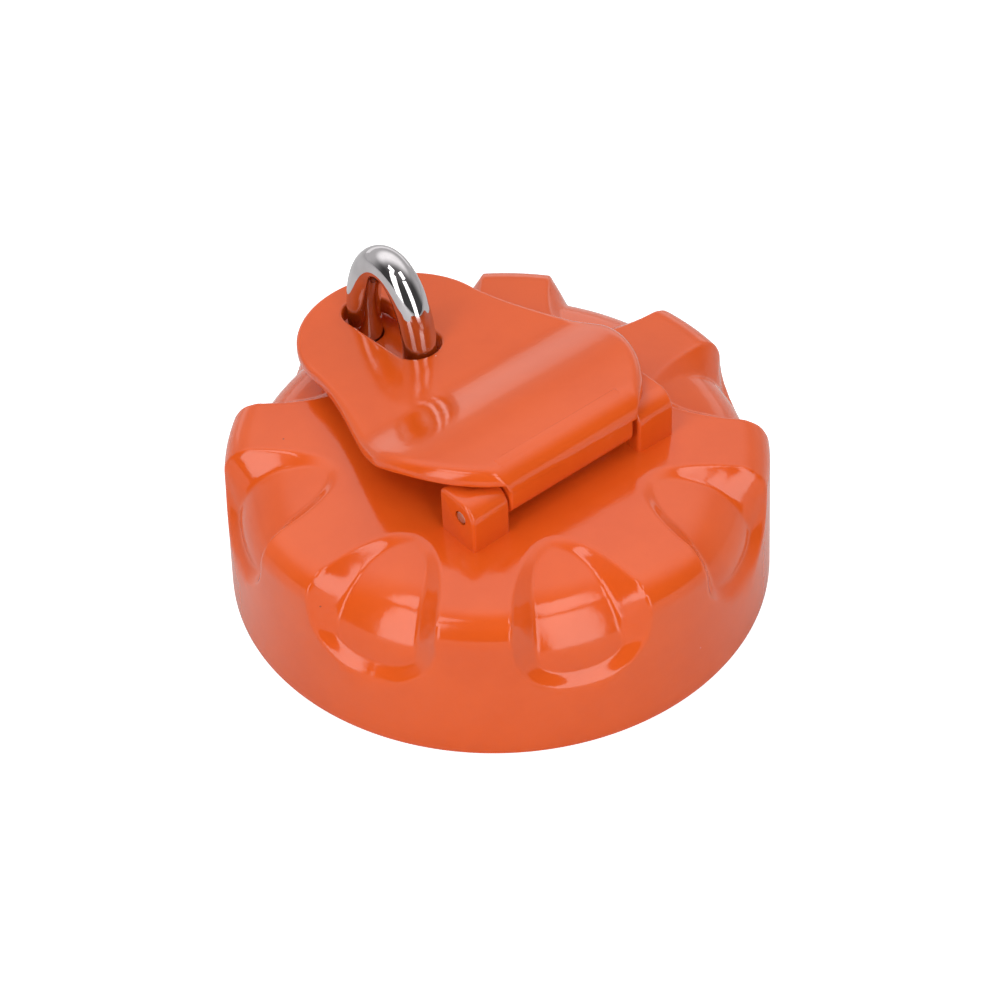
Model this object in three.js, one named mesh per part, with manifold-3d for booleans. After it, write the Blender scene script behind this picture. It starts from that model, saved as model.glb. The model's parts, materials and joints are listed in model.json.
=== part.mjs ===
// A padlockable tank filler cap: a scalloped cast cap, a hinged hasp flap over
// its key lock, a padlock staple, and the bolt-and-gasket lock under the cap.
// Millimetres, +Z up. The origin is the centre of the skirt's bottom rim,
// +X runs along the hinge pin and +Y points from the hinge to the staple.
import * as THREE from 'three';
import { mergeVertices } from 'three/addons/utils/BufferGeometryUtils.js';
import Module from 'manifold-3d';

const wasm = await Module();
wasm.setup();

// ---- driving dimensions -------------------------------------------------
const SKIRT_R = 65; // outer radius at the bottom rim
const SHOULDER_R = 64.4; // outer radius where the shoulder round ends
const SHOULDER_ROUND = 7.65;
const TOP_Z = 42.35; // dome apex
const DOME = 0.00057; // drop of the dome per mm of radius squared
const WALL_TOP_Z = 32.86; // where the side wall meets the shoulder round
const TURNS = 104; // facets round the cap

const SCALLOPS = 8;
const FLOOR_ARC = { r: 45, z: 21.8, radius: 17 }; // section of a scallop's floor
const FLOOR_TILT = (16 * Math.PI) / 180; // of the straight stretch above the arc
const SCALLOP_START_R = 38; // radius of the scallop's inner tip
const SCALLOP_MIDDLE = 27; // widest place, measured along the profile
const SCALLOP_LENGTH = [27, 16.4]; // tip side and wall side of the middle
const SCALLOP_HALF_WIDTH = 17.5;
const SCALLOP_RAMP = 0.4; // share of the scallop taken by its sloping sides

const BORE_R = 8.3; // central hole for the lock barrel
const SKIRT_INNER_R = 60;
const WALL_INNER_R = 56;
const CEILING_Z = 32.3; // underside of the outer top
const RECESS_R = 36.8;
const RECESS_Z = 37.8; // underside of the middle of the top

const PIN_Y = -23.8;
const PIN_Z = 49.3;
const PIN_R = 1.5;
const PIN_BORE_R = 1.56; // running fit in the flap's block
const PIN_HOLE_R = 1.8; // in the lugs
const KNUCKLE_R = 4.6;
const LUG_X = [19.6, 30.4];
const LUG_BACK_Y = -16.5;
const LUG_TOP_Z = PIN_Z + KNUCKLE_R;

const FLAP_THICK = 3.6;
const FLAP_REAR_Z = 59;
const FLAP_FRONT = { z: 49.7, y: 38, slope: 0.07 };
const FLAP_RAMP_Y = [11, -15];
const FLAP_REAR_ROUND = 6;
const FLAP_DISC = { y: 1.2, r: 35.2 };
const FLAP_TIP = { y: 36, r: 24.2 };
const BLOCK_X = [-19.25, 18];
const SLOT = { y: [28.9, 47.9], halfWidth: 6.05 };

const BAR_R = 4.2;
const LEG_Y = [27.6, 48.8];
const ARCH_SPRING_Z = 48.9;
const ARCH_RISE = 19.4;
const LEG_HOLE_R = 4.55;

const GAP = 0.3; // play between neighbouring pieces
const PLATE_Z = [23, 26];
const PLATE_R = 54.6;
const PLATE_SCREW_R = 50.5;
const HOUSING_R = [31, 34];
const HOUSING_Z = [8.8, 22.7];
const COVER_Z = [5.6, 8.5];
const COVER_SCREW_R = 27.6;
const COVER_SCREW_ANGLES = [60, 120, 240, 300];
const SCREW_R = 1.6;
const SCREW_HOLE_R = 1.9;

const BARREL_R = 8;
const PLUG_R = 5.4;
const PLUG_BORE_R = 5.48; // running fit in the barrel
const TAIL_R = 4;
const CAM_Z = [17.4, 20.4];
const CAM_R = 20.5;
const BOLT_THROW = 6; // how far a bolt moves in the key's quarter turn
const DRIVE_PIN_X = 16;
const DRIVE_PIN_R = 2;
const BOLT_X = [12, 40];
const BOLT_HALF_WIDTH = 6.5;
const BOLT_Z = [10.6, 16];

const VENT_Y = -21;

// ---- finishes -----------------------------------------------------------
const ENAMEL = { color: 0xe2552a, roughness: 0.22, metalness: 0 };
const CHROME = { color: 0xd9d9dc, roughness: 0.06, metalness: 1 };
const STEEL = { color: 0xb4b6b8, roughness: 0.3, metalness: 1 };
const ALUMINIUM = { color: 0xc3c5c8, roughness: 0.42, metalness: 1 };
const BRASS = { color: 0xc9a24e, roughness: 0.3, metalness: 1 };
const RUBBER = { color: 0x1b1b1c, roughness: 0.75, metalness: 0 };

// ---- solids -------------------------------------------------------------
/** Turns a closed three.js geometry into a solid that booleans can use. */
function solid(geometry) {
  const bare = geometry.index ? geometry.toNonIndexed() : geometry.clone();
  bare.deleteAttribute('normal');
  bare.deleteAttribute('uv');
  const welded = mergeVertices(bare, 1e-4);
  const corners = welded.attributes.position.array;
  const faces = Uint32Array.from(welded.index.array);
  if (signedVolume(corners, faces) < 0) {
    for (let i = 0; i < faces.length; i += 3) {
      [faces[i], faces[i + 1]] = [faces[i + 1], faces[i]];
    }
  }
  const mesh = new wasm.Mesh({
    numProp: 3,
    vertProperties: Float32Array.from(corners),
    triVerts: faces,
  });
  return new wasm.Manifold(mesh);
}

function signedVolume(p, f) {
  const a = new THREE.Vector3();
  const b = new THREE.Vector3();
  const c = new THREE.Vector3();
  let total = 0;
  for (let i = 0; i < f.length; i += 3) {
    a.fromArray(p, f[i] * 3);
    b.fromArray(p, f[i + 1] * 3);
    c.fromArray(p, f[i + 2] * 3);
    total += a.dot(b.cross(c));
  }
  return total;
}

function geometryOf(manifold) {
  const mesh = manifold.getMesh();
  const geometry = new THREE.BufferGeometry();
  const position = new THREE.BufferAttribute(mesh.vertProperties, 3);
  geometry.setAttribute('position', position);
  geometry.setIndex(new THREE.BufferAttribute(mesh.triVerts, 1));
  geometry.computeVertexNormals();
  return geometry;
}

function rod(r, z0, z1, x = 0, y = 0, facets = 32) {
  const g = new THREE.CylinderGeometry(r, r, z1 - z0, facets);
  g.rotateX(Math.PI / 2);
  g.translate(x, y, (z0 + z1) / 2);
  return solid(g);
}

/** A rod lying along X. */
function crossRod(r, x0, x1, y, z, facets = 24) {
  const g = new THREE.CylinderGeometry(r, r, x1 - x0, facets);
  g.rotateZ(Math.PI / 2);
  g.translate((x0 + x1) / 2, y, z);
  return solid(g);
}

function block(x0, x1, y0, y1, z0, z1) {
  const g = new THREE.BoxGeometry(x1 - x0, y1 - y0, z1 - z0);
  g.translate((x0 + x1) / 2, (y0 + y1) / 2, (z0 + z1) / 2);
  return solid(g);
}

function tube(rInner, rOuter, z0, z1, x = 0, y = 0, facets = 40) {
  const ring = [[rInner, z0], [rOuter, z0], [rOuter, z1], [rInner, z1]];
  return turned(ring.map(([r, z]) => ({ r, z })), facets).translate([x, y, 0]);
}

/** A closed profile turned about Z. dent(angle, point) moves the skin in. */
function turned(profile, facets, dent = () => 0) {
  const positions = [];
  const faces = [];
  const rings = profile.length;
  for (let i = 0; i < facets; i++) {
    const angle = (i / facets) * 2 * Math.PI;
    for (const point of profile) {
      const depth = dent(angle, point);
      const r = point.r - depth * (point.nr ?? 0);
      const z = point.z - depth * (point.nz ?? 0);
      positions.push(r * Math.cos(angle), r * Math.sin(angle), z);
    }
    const next = (i + 1) % facets;
    for (let j = 0; j < rings; j++) {
      const k = (j + 1) % rings;
      const a = i * rings + j;
      const b = next * rings + j;
      const c = next * rings + k;
      const d = i * rings + k;
      faces.push(a, b, c, a, c, d);
    }
  }
  const g = new THREE.BufferGeometry();
  g.setAttribute('position', new THREE.Float32BufferAttribute(positions, 3));
  g.setIndex(faces);
  return solid(g);
}

/** The same outline without points that fall on one another. */
function withoutRepeats(shape, curveSegments) {
  const outline = (path) => {
    const points = path.getPoints(curveSegments);
    return points.filter((p, i) => p.distanceTo(points.at(i - 1)) > 0.01);
  };
  const clean = new THREE.Shape(outline(shape));
  clean.holes = shape.holes.map((hole) => new THREE.Path(outline(hole)));
  return clean;
}

/** A shape drawn in X and Y, raised from z0 to z1. */
function raised(shape, z0, z1, curveSegments = 12) {
  const options = { depth: z1 - z0, bevelEnabled: false };
  const g = new THREE.ExtrudeGeometry(withoutRepeats(shape, curveSegments), options);
  g.translate(0, 0, z0);
  return solid(g);
}

/** A shape drawn in Y and Z, pushed along X from x0 to x1. */
function pushed(shape, x0, x1, curveSegments = 8) {
  const options = { depth: x1 - x0, bevelEnabled: false };
  const g = new THREE.ExtrudeGeometry(withoutRepeats(shape, curveSegments), options);
  g.applyMatrix4(new THREE.Matrix4().set(0, 0, 1, x0, 1, 0, 0, 0, 0, 1, 0, 0, 0, 0, 0, 1));
  return solid(g);
}

function hexNut(acrossFlats, bore, z0, z1, x, y) {
  const corners = acrossFlats / Math.sqrt(3);
  const body = rod(corners, z0, z1, 0, 0, 6).rotate([0, 0, 90]).translate([x, y, 0]);
  return body.subtract(rod(bore, z0 - 1, z1 + 1, x, y));
}

function polar(r, degrees) {
  const a = THREE.MathUtils.degToRad(degrees);
  return [r * Math.cos(a), r * Math.sin(a)];
}

// ---- the cast cap -------------------------------------------------------
const domeZ = (r) => TOP_Z - DOME * r * r;
const wallR = (z) => SHOULDER_R + ((SKIRT_R - SHOULDER_R) * (WALL_TOP_Z - z)) / WALL_TOP_Z;

/** Points of the cap's outside from the central hole to the bottom rim.
 *  s is the distance along the skin from the scallops' inner tip. */
function outerProfile() {
  const points = [];
  for (const r of [BORE_R, 24, 38, 41, 44, 47.5, 52]) {
    points.push({ r, z: domeZ(r), nr: 0, nz: 1, s: r - SCALLOP_START_R });
  }
  const roundR = SHOULDER_R - SHOULDER_ROUND;
  const steps = 5;
  for (let i = 0; i <= steps; i++) {
    const a = (i / steps) * (Math.PI / 2);
    const nr = Math.sin(a);
    const nz = Math.cos(a);
    const r = roundR + SHOULDER_ROUND * nr;
    const z = WALL_TOP_Z + SHOULDER_ROUND * nz;
    points.push({ r, z, nr, nz, s: roundR - SCALLOP_START_R + SHOULDER_ROUND * a });
  }
  const wallStart = points.at(-1).s;
  for (const z of [30, 27.3, 25, 23, 20.5]) {
    points.push({ r: wallR(z), z, nr: 1, nz: 0, s: wallStart + WALL_TOP_Z - z });
  }
  points.push({ r: SKIRT_R, z: 1 }, { r: SKIRT_R - 1, z: 0 });
  return points;
}

function innerProfile() {
  return [
    { r: SKIRT_INNER_R, z: 0 },
    { r: SKIRT_INNER_R - 0.8, z: 16.5 },
    { r: WALL_INNER_R, z: 20 },
    { r: WALL_INNER_R, z: CEILING_Z - 0.8 },
    { r: WALL_INNER_R - 0.8, z: CEILING_Z },
    { r: RECESS_R + 1.6, z: CEILING_Z },
    { r: RECESS_R, z: CEILING_Z + 1.6 },
    { r: RECESS_R, z: RECESS_Z },
    { r: BORE_R, z: RECESS_Z },
  ];
}

/** How far the floor of a scallop lies under a point of the skin, along its normal. */
function floorDepth(point) {
  const r = point.r - FLOOR_ARC.r;
  const z = point.z - FLOOR_ARC.z;
  if (z < 0) return r - FLOOR_ARC.radius;
  if (r < z * Math.tan(FLOOR_TILT)) {
    const [side, up] = [Math.sin(FLOOR_TILT), Math.cos(FLOOR_TILT)];
    const above = r * side + z * up - FLOOR_ARC.radius;
    return Math.max(0, above / (point.nr * side + point.nz * up));
  }
  const along = r * point.nr + z * point.nz;
  return along - Math.sqrt(along ** 2 - (r * r + z * z - FLOOR_ARC.radius ** 2));
}

/** Depth of the nearest scallop: the arched floor inside smooth sloping sides. */
function scallopDepth(angle, point) {
  if (point.s === undefined) return 0;
  const pitch = (2 * Math.PI) / SCALLOPS;
  const across = (((angle % pitch) + pitch) % pitch) - pitch / 2;
  const v = Math.abs(across) * point.r / SCALLOP_HALF_WIDTH;
  const along = point.s - SCALLOP_MIDDLE;
  const u = Math.abs(along) / SCALLOP_LENGTH[along < 0 ? 0 : 1];
  const power = along < 0 ? 1.4 : 2;
  const q = (u ** power + v ** power) ** (1 / power);
  const t = Math.min(1, Math.max(0, (1 - q) / SCALLOP_RAMP));
  return floorDepth(point) * t * t * (3 - 2 * t);
}

/** One hinge lug: flat sides, its front rounded about the pin. */
function lug(x0, x1) {
  const s = new THREE.Shape();
  s.moveTo(PIN_Y - KNUCKLE_R, RECESS_Z + 1);
  s.lineTo(LUG_BACK_Y, RECESS_Z + 1);
  s.lineTo(LUG_BACK_Y, LUG_TOP_Z - 1.5);
  s.absarc(LUG_BACK_Y - 1.5, LUG_TOP_Z - 1.5, 1.5, 0, Math.PI / 2, false);
  s.lineTo(PIN_Y, LUG_TOP_Z);
  s.absarc(PIN_Y, PIN_Z, KNUCKLE_R, Math.PI / 2, Math.PI, false);
  return pushed(s, x0, x1, 6);
}

function capShell() {
  let cap = turned([...outerProfile(), ...innerProfile()], TURNS, scallopDepth);
  cap = cap.add(lug(LUG_X[0], LUG_X[1])).add(lug(-LUG_X[1], -LUG_X[0]));
  cap = cap.subtract(crossRod(PIN_HOLE_R, -LUG_X[1] - 1, LUG_X[1] + 1, PIN_Y, PIN_Z));
  for (const y of LEG_Y) cap = cap.subtract(rod(LEG_HOLE_R, 30, 45, 0, y));
  for (const degrees of [45, 135, 225, 315]) {
    const [x, y] = polar(PLATE_SCREW_R, degrees);
    cap = cap.add(rod(4.2, PLATE_Z[1] + GAP, CEILING_Z + 1, x, y, 20));
    cap = cap.subtract(rod(SCREW_HOLE_R, PLATE_Z[1] - 1, 34.5, x, y, 16));
  }
  return cap;
}

// ---- the hasp flap ------------------------------------------------------
function flapTopZ(y) {
  const front = FLAP_FRONT.z - FLAP_FRONT.slope * (y - FLAP_FRONT.y);
  const [y0, y1] = FLAP_RAMP_Y;
  const t = Math.min(1, Math.max(0, (y0 - y) / (y0 - y1)));
  return front + (FLAP_REAR_Z - front) * t * t * (3 - 2 * t);
}

/** Pear outline: a big disc at the hinge, hollow waists, a round tip. */
function flapOutline() {
  const s = new THREE.Shape();
  const rearX = Math.sqrt(FLAP_DISC.r ** 2 - (PIN_Y - KNUCKLE_R - FLAP_DISC.y) ** 2);
  const rearAngle = Math.asin((PIN_Y - KNUCKLE_R - FLAP_DISC.y) / FLAP_DISC.r);
  const shoulder = -0.13;
  const tip = 0.06;
  s.moveTo(-rearX, PIN_Y - KNUCKLE_R);
  s.absarc(0, FLAP_DISC.y, FLAP_DISC.r, rearAngle, shoulder, false);
  s.bezierCurveTo(35, 4.5, 28, 14, FLAP_TIP.r * Math.cos(tip), FLAP_TIP.y + FLAP_TIP.r * Math.sin(tip));
  s.absarc(0, FLAP_TIP.y, FLAP_TIP.r, tip, Math.PI - tip, false);
  const left = Math.PI - shoulder;
  const leftX = FLAP_DISC.r * Math.cos(left);
  const leftY = FLAP_DISC.y + FLAP_DISC.r * Math.sin(left);
  s.bezierCurveTo(-28, 14, -35, 4.5, leftX, leftY);
  s.absarc(0, FLAP_DISC.y, FLAP_DISC.r, left, Math.PI - rearAngle, false);
  const hole = new THREE.Path();
  hole.absarc(0, SLOT.y[0], SLOT.halfWidth, Math.PI, 2 * Math.PI, false);
  hole.absarc(0, SLOT.y[1], SLOT.halfWidth, 0, Math.PI, false);
  s.holes.push(hole);
  return s;
}

/** The flap seen from its side: the stepped plate without its block. */
function flapSection() {
  const s = new THREE.Shape();
  const roundY = PIN_Y - KNUCKLE_R + FLAP_REAR_ROUND;
  const roundZ = FLAP_REAR_Z - FLAP_REAR_ROUND;
  const under = Math.asin((FLAP_REAR_ROUND - FLAP_THICK) / FLAP_REAR_ROUND);
  s.moveTo(roundY - FLAP_REAR_ROUND * Math.cos(under), FLAP_REAR_Z - FLAP_THICK);
  s.absarc(roundY, roundZ, FLAP_REAR_ROUND, Math.PI - under, Math.PI / 2, true);
  for (let y = -19; y <= 63; y += y < 15 ? 2 : 8) s.lineTo(y, flapTopZ(y));
  for (let y = 63; y >= -19; y -= y > 17 ? 8 : 2) s.lineTo(y, flapTopZ(y) - FLAP_THICK);
  return s;
}

function knuckleSection() {
  const s = new THREE.Shape();
  const rearY = PIN_Y - KNUCKLE_R;
  s.moveTo(rearY, PIN_Z);
  s.absarc(PIN_Y, PIN_Z, KNUCKLE_R, Math.PI, 2 * Math.PI, false);
  s.lineTo(PIN_Y + KNUCKLE_R, FLAP_REAR_Z - FLAP_THICK + 0.5);
  s.lineTo(rearY + FLAP_REAR_ROUND, FLAP_REAR_Z);
  s.absarc(rearY + FLAP_REAR_ROUND, FLAP_REAR_Z - FLAP_REAR_ROUND,
    FLAP_REAR_ROUND, Math.PI / 2, Math.PI, false);
  return s;
}

function coverFlap() {
  const plan = raised(flapOutline(), 40, 62);
  let flap = plan.intersect(pushed(flapSection(), -40, 40));
  flap = flap.add(pushed(knuckleSection(), BLOCK_X[0], BLOCK_X[1]));
  for (const x of [-7.6, 7.6]) flap = flap.add(rod(1.7, domeZ(53) + GAP, 46.5, x, 54, 16));
  return flap.subtract(crossRod(PIN_BORE_R, -25, 25, PIN_Y, PIN_Z));
}

// ---- the staple and its fixings ------------------------------------------
class StaplePath extends THREE.Curve {
  getPoint(t, target = new THREE.Vector3()) {
    const [nearY, farY] = LEG_Y;
    const legs = [ARCH_SPRING_Z - 31.9, ARCH_SPRING_Z - 26.6];
    const total = legs[0] + 46 + legs[1];
    const along = t * total;
    if (along < legs[0]) return target.set(0, nearY, 31.9 + along);
    if (along > total - legs[1]) return target.set(0, farY, 26.6 + total - along);
    const a = Math.PI * (1 - (along - legs[0]) / 46);
    const y = (nearY + farY) / 2 + ((farY - nearY) / 2) * Math.cos(a);
    return target.set(0, y, ARCH_SPRING_Z + ARCH_RISE * Math.sin(a));
  }
}

function padlockStaple() {
  const bar = new THREE.Shape();
  bar.absarc(0, 0, BAR_R, 0, 2 * Math.PI, false);
  const extrudePath = new StaplePath();
  extrudePath.arcLengthDivisions = 400;
  return solid(new THREE.ExtrudeGeometry(bar, { steps: 38, extrudePath, curveSegments: 9 }));
}

// ---- the lock -----------------------------------------------------------
function lockBarrel() {
  return tube(PLUG_BORE_R, BARREL_R, 21.5, 44.1).add(tube(PLUG_BORE_R, 11, 43.9, 45.6));
}

function keyPlug() {
  let plug = rod(PLUG_R, 21.7, 45.4).add(rod(TAIL_R, 16.9, 22));
  plug = plug.subtract(block(-0.9, 0.9, -3.2, 4.2, 31, 46));
  return plug.subtract(rod(SCREW_R + 0.2, 16, 20.8, 0, 0, 20));
}

/** A spiral slot: its radius falls evenly with the angle, so a quarter turn
 *  of the cam draws a bolt in by BOLT_THROW. */
function camSlot() {
  const half = DRIVE_PIN_R + 0.35;
  const rate = BOLT_THROW / (Math.PI / 2);
  const over = 0.03;
  const outer = [];
  const inner = [];
  for (let i = 0; i <= 14; i++) {
    const turn = -over + (i / 14) * (Math.PI / 2 + 2 * over);
    const r = DRIVE_PIN_X - rate * turn;
    outer.push(new THREE.Vector2((r + half) * Math.cos(-turn), (r + half) * Math.sin(-turn)));
    inner.push(new THREE.Vector2((r - half) * Math.cos(-turn), (r - half) * Math.sin(-turn)));
  }
  const slot = raised(new THREE.Shape([...outer, ...inner.reverse()]), CAM_Z[0] - 1, CAM_Z[1] + 1);
  const [endX, endY] = polar(DRIVE_PIN_X - BOLT_THROW, -90);
  return slot
    .add(rod(half, CAM_Z[0] - 1, CAM_Z[1] + 1, DRIVE_PIN_X, 0, 24))
    .add(rod(half, CAM_Z[0] - 1, CAM_Z[1] + 1, endX, endY, 24));
}

function scrollCam() {
  const slot = camSlot();
  return rod(CAM_R, CAM_Z[0], CAM_Z[1], 0, 0, 56)
    .subtract(rod(TAIL_R + GAP, CAM_Z[0] - 1, CAM_Z[1] + 1))
    .subtract(slot)
    .subtract(slot.rotate([0, 0, 180]));
}

/** A locking bolt pointing along +X, with its drive pin and a bevelled nose. */
function lockBolt() {
  const s = new THREE.Shape();
  const [x0, x1] = BOLT_X;
  const w = BOLT_HALF_WIDTH;
  s.moveTo(x0, -w);
  s.lineTo(x1 - 2, -w);
  s.lineTo(x1, -w + 3);
  s.lineTo(x1, w - 3);
  s.lineTo(x1 - 2, w);
  s.lineTo(x0, w);
  const drive = rod(DRIVE_PIN_R, BOLT_Z[1] - 0.5, CAM_Z[1] - 0.2, DRIVE_PIN_X, 0, 20);
  return raised(s, BOLT_Z[0], BOLT_Z[1]).add(drive);
}

function lockHousing() {
  let housing = tube(HOUSING_R[0], HOUSING_R[1], HOUSING_Z[0], HOUSING_Z[1]);
  for (const degrees of COVER_SCREW_ANGLES) {
    const [x, y] = polar(COVER_SCREW_R, degrees);
    housing = housing.add(rod(3.8, HOUSING_Z[0], HOUSING_Z[1], x, y, 20));
    housing = housing.subtract(rod(SCREW_HOLE_R, 5, 25, x, y, 16));
  }
  const w = BOLT_HALF_WIDTH + GAP;
  return housing.subtract(block(-40, 40, -w, w, BOLT_Z[0] - GAP, BOLT_Z[1] + GAP));
}

/** The housing's bottom cover, with the rails that the bolts slide between. */
function housingCover() {
  let cover = rod(HOUSING_R[1], COVER_Z[0], COVER_Z[1], 0, 0, 48);
  const w = BOLT_HALF_WIDTH + 0.12;
  for (const side of [-1, 1]) {
    const x = side * 19;
    cover = cover.add(block(x - 9, x + 9, -w - 2.4, w + 2.4, COVER_Z[1] - 0.5, BOLT_Z[0] - GAP));
    for (const rail of [-1, 1]) {
      const y = rail * (w + 1.2);
      cover = cover.add(block(x - 9, x + 9, y - 1.2, y + 1.2, COVER_Z[1] - 0.5, BOLT_Z[1] - 0.6));
    }
  }
  for (const degrees of COVER_SCREW_ANGLES) {
    const [x, y] = polar(COVER_SCREW_R, degrees);
    cover = cover.subtract(rod(SCREW_HOLE_R, 4, 10, x, y, 16));
  }
  return cover;
}

function screw(headR, headZ0, headZ1, tipZ, x, y) {
  const head = rod(headR, headZ0, headZ1, x, y, 20);
  const socket = rod(headR * 0.5, headZ0 - 1, headZ0 + 1.2, x, y, 6);
  return head.add(rod(SCREW_R, headZ1 - 0.5, tipZ, x, y, 16)).subtract(socket);
}

function sealPlate() {
  let plate = rod(PLATE_R, PLATE_Z[0], PLATE_Z[1], 0, 0, 64);
  plate = plate.subtract(rod(BORE_R, 20, 30));
  plate = plate.subtract(rod(2.7, 20, 30, 0, VENT_Y, 20));
  for (const degrees of [45, 135, 225, 315]) {
    const [x, y] = polar(PLATE_SCREW_R, degrees);
    plate = plate.subtract(rod(SCREW_HOLE_R, 20, 30, x, y, 16));
  }
  for (const degrees of COVER_SCREW_ANGLES) {
    const [x, y] = polar(COVER_SCREW_R, degrees);
    plate = plate.subtract(rod(SCREW_HOLE_R, 20, 25.8, x, y, 16));
  }
  return plate;
}

// ---- the breather valve ---------------------------------------------------
function ventBody() {
  const profile = [[1.3, 23.2], [2.4, 23.2], [2.4, 26.3], [5.2, 26.3], [5.2, 33.4], [2, 33.4],
    [2, 32.6], [4.1, 32.6], [4.1, 27.3], [1.3, 27.3]];
  return turned(profile.map(([r, z]) => ({ r, z })), 28).translate([0, VENT_Y, 0]);
}

class SpringPath extends THREE.Curve {
  getPoint(t, target = new THREE.Vector3()) {
    const a = t * 4 * 2 * Math.PI;
    return target.set(2.9 * Math.cos(a), VENT_Y + 2.9 * Math.sin(a), 29.4 + 2.6 * t);
  }
}

function ventSpring() {
  const wire = new THREE.Shape();
  wire.absarc(0, 0, 0.3, 0, 2 * Math.PI, false);
  const options = { steps: 44, extrudePath: new SpringPath(), curveSegments: 3 };
  return solid(new THREE.ExtrudeGeometry(wire, options));
}

// ---- the assembly ---------------------------------------------------------
const cap = new THREE.Group();
cap.name = 'lockable_filler_cap';

function place(name, manifold, finish) {
  const mesh = new THREE.Mesh(geometryOf(manifold), new THREE.MeshStandardMaterial(finish));
  mesh.name = name;
  cap.add(mesh);
}

place('cap_shell', capShell(), ENAMEL);
place('cover_flap', coverFlap(), ENAMEL);
place('hinge_pin', crossRod(PIN_R, -LUG_X[1] + 0.2, LUG_X[1] - 0.2, PIN_Y, PIN_Z), STEEL);
place('padlock_staple', padlockStaple(), CHROME);
place('staple_washer_near', tube(LEG_HOLE_R, 6.5, 36.6, 37.5, 0, LEG_Y[0], 24), STEEL);
place('staple_nut_near', hexNut(13, LEG_HOLE_R, 32.4, 36.3, 0, LEG_Y[0]), STEEL);
place('staple_washer_far', tube(LEG_HOLE_R, 6.5, 31.1, 32, 0, LEG_Y[1], 24), STEEL);
place('staple_nut_far', hexNut(13, LEG_HOLE_R, 26.9, 30.8, 0, LEG_Y[1]), STEEL);

place('lock_barrel', lockBarrel(), CHROME);
place('barrel_seal', tube(BARREL_R + GAP, 10.8, 42.65, 43.6, 0, 0, 40), RUBBER);
place('barrel_nut', hexNut(22, BARREL_R + GAP, 33.6, 37.5, 0, 0), BRASS);
place('key_plug', keyPlug(), BRASS);
place('scroll_cam', scrollCam(), STEEL);
place('cam_screw', screw(3.2, 14.3, 16.6, 20.4, 0, 0), STEEL);
place('lock_bolt_right', lockBolt(), STEEL);
place('lock_bolt_left', lockBolt().rotate([0, 0, 180]), STEEL);

place('lock_housing', lockHousing(), ALUMINIUM);
place('housing_cover', housingCover(), ALUMINIUM);
COVER_SCREW_ANGLES.forEach((degrees, i) => {
  const [x, y] = polar(COVER_SCREW_R, degrees);
  place(`cover_screw_${i + 1}`, screw(3.2, 3.3, 5.3, 25.4, x, y), STEEL);
});

place('seal_plate', sealPlate(), ALUMINIUM);
place('neck_gasket', tube(HOUSING_R[1] + 0.4, 46.4, 19.8, 22.7, 0, 0, 64), RUBBER);
[45, 135, 225, 315].forEach((degrees, i) => {
  const [x, y] = polar(PLATE_SCREW_R, degrees);
  place(`plate_screw_${i + 1}`, screw(3.4, 20.6, 22.7, 33.6, x, y), STEEL);
});

place('vent_body', ventBody(), BRASS);
place('vent_disc', rod(3.7, 27.6, 28.8, 0, VENT_Y, 28), RUBBER);
place('vent_spring', ventSpring(), STEEL);

export default cap;
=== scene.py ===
# %% [markdown]
# A padlockable tank filler cap. The cap itself is a thick casting in gloss orange
# enamel with eight finger scallops. A hinged flap covers its key lock, and a bright
# round-bar staple stands up through the flap so that a padlock can hold it shut.
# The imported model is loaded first: it is the fixed frame that every piece fits.

# %% Load the frame
import json
import math

import bmesh
import bpy
import numpy as np
from mathutils import Matrix, Vector


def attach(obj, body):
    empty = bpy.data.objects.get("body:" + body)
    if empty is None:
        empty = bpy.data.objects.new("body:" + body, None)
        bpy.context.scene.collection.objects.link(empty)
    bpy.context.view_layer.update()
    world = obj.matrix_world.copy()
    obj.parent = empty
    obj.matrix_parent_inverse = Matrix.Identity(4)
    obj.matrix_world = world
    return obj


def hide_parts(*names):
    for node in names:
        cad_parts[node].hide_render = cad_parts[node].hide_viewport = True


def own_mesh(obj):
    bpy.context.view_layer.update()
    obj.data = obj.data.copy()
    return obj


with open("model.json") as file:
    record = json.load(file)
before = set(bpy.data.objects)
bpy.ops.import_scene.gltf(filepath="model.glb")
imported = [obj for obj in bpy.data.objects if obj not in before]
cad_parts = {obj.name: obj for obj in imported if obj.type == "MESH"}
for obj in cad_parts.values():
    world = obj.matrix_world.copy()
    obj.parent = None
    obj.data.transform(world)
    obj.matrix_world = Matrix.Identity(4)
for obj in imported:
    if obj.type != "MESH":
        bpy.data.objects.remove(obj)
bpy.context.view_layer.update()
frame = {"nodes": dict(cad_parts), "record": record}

MM = 0.001
nodes = frame["nodes"]

# %% [markdown]
# The camera looks down on the cap from the hinge side, left of the hinge pin, with a
# long lens, so that the round skirt shows little perspective. It is placed before
# anything is modelled, because every piece is judged through it.

# %% Camera
CAMERA_AT = Vector((-0.38244, -0.47611, 0.58987))
CAMERA_BACK = Vector((-0.4579, -0.5694, 0.6827)).normalized()
CAMERA_ROLL = math.radians(-2.234)
RIGHT_AZIMUTH = math.radians(-38.804)

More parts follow.
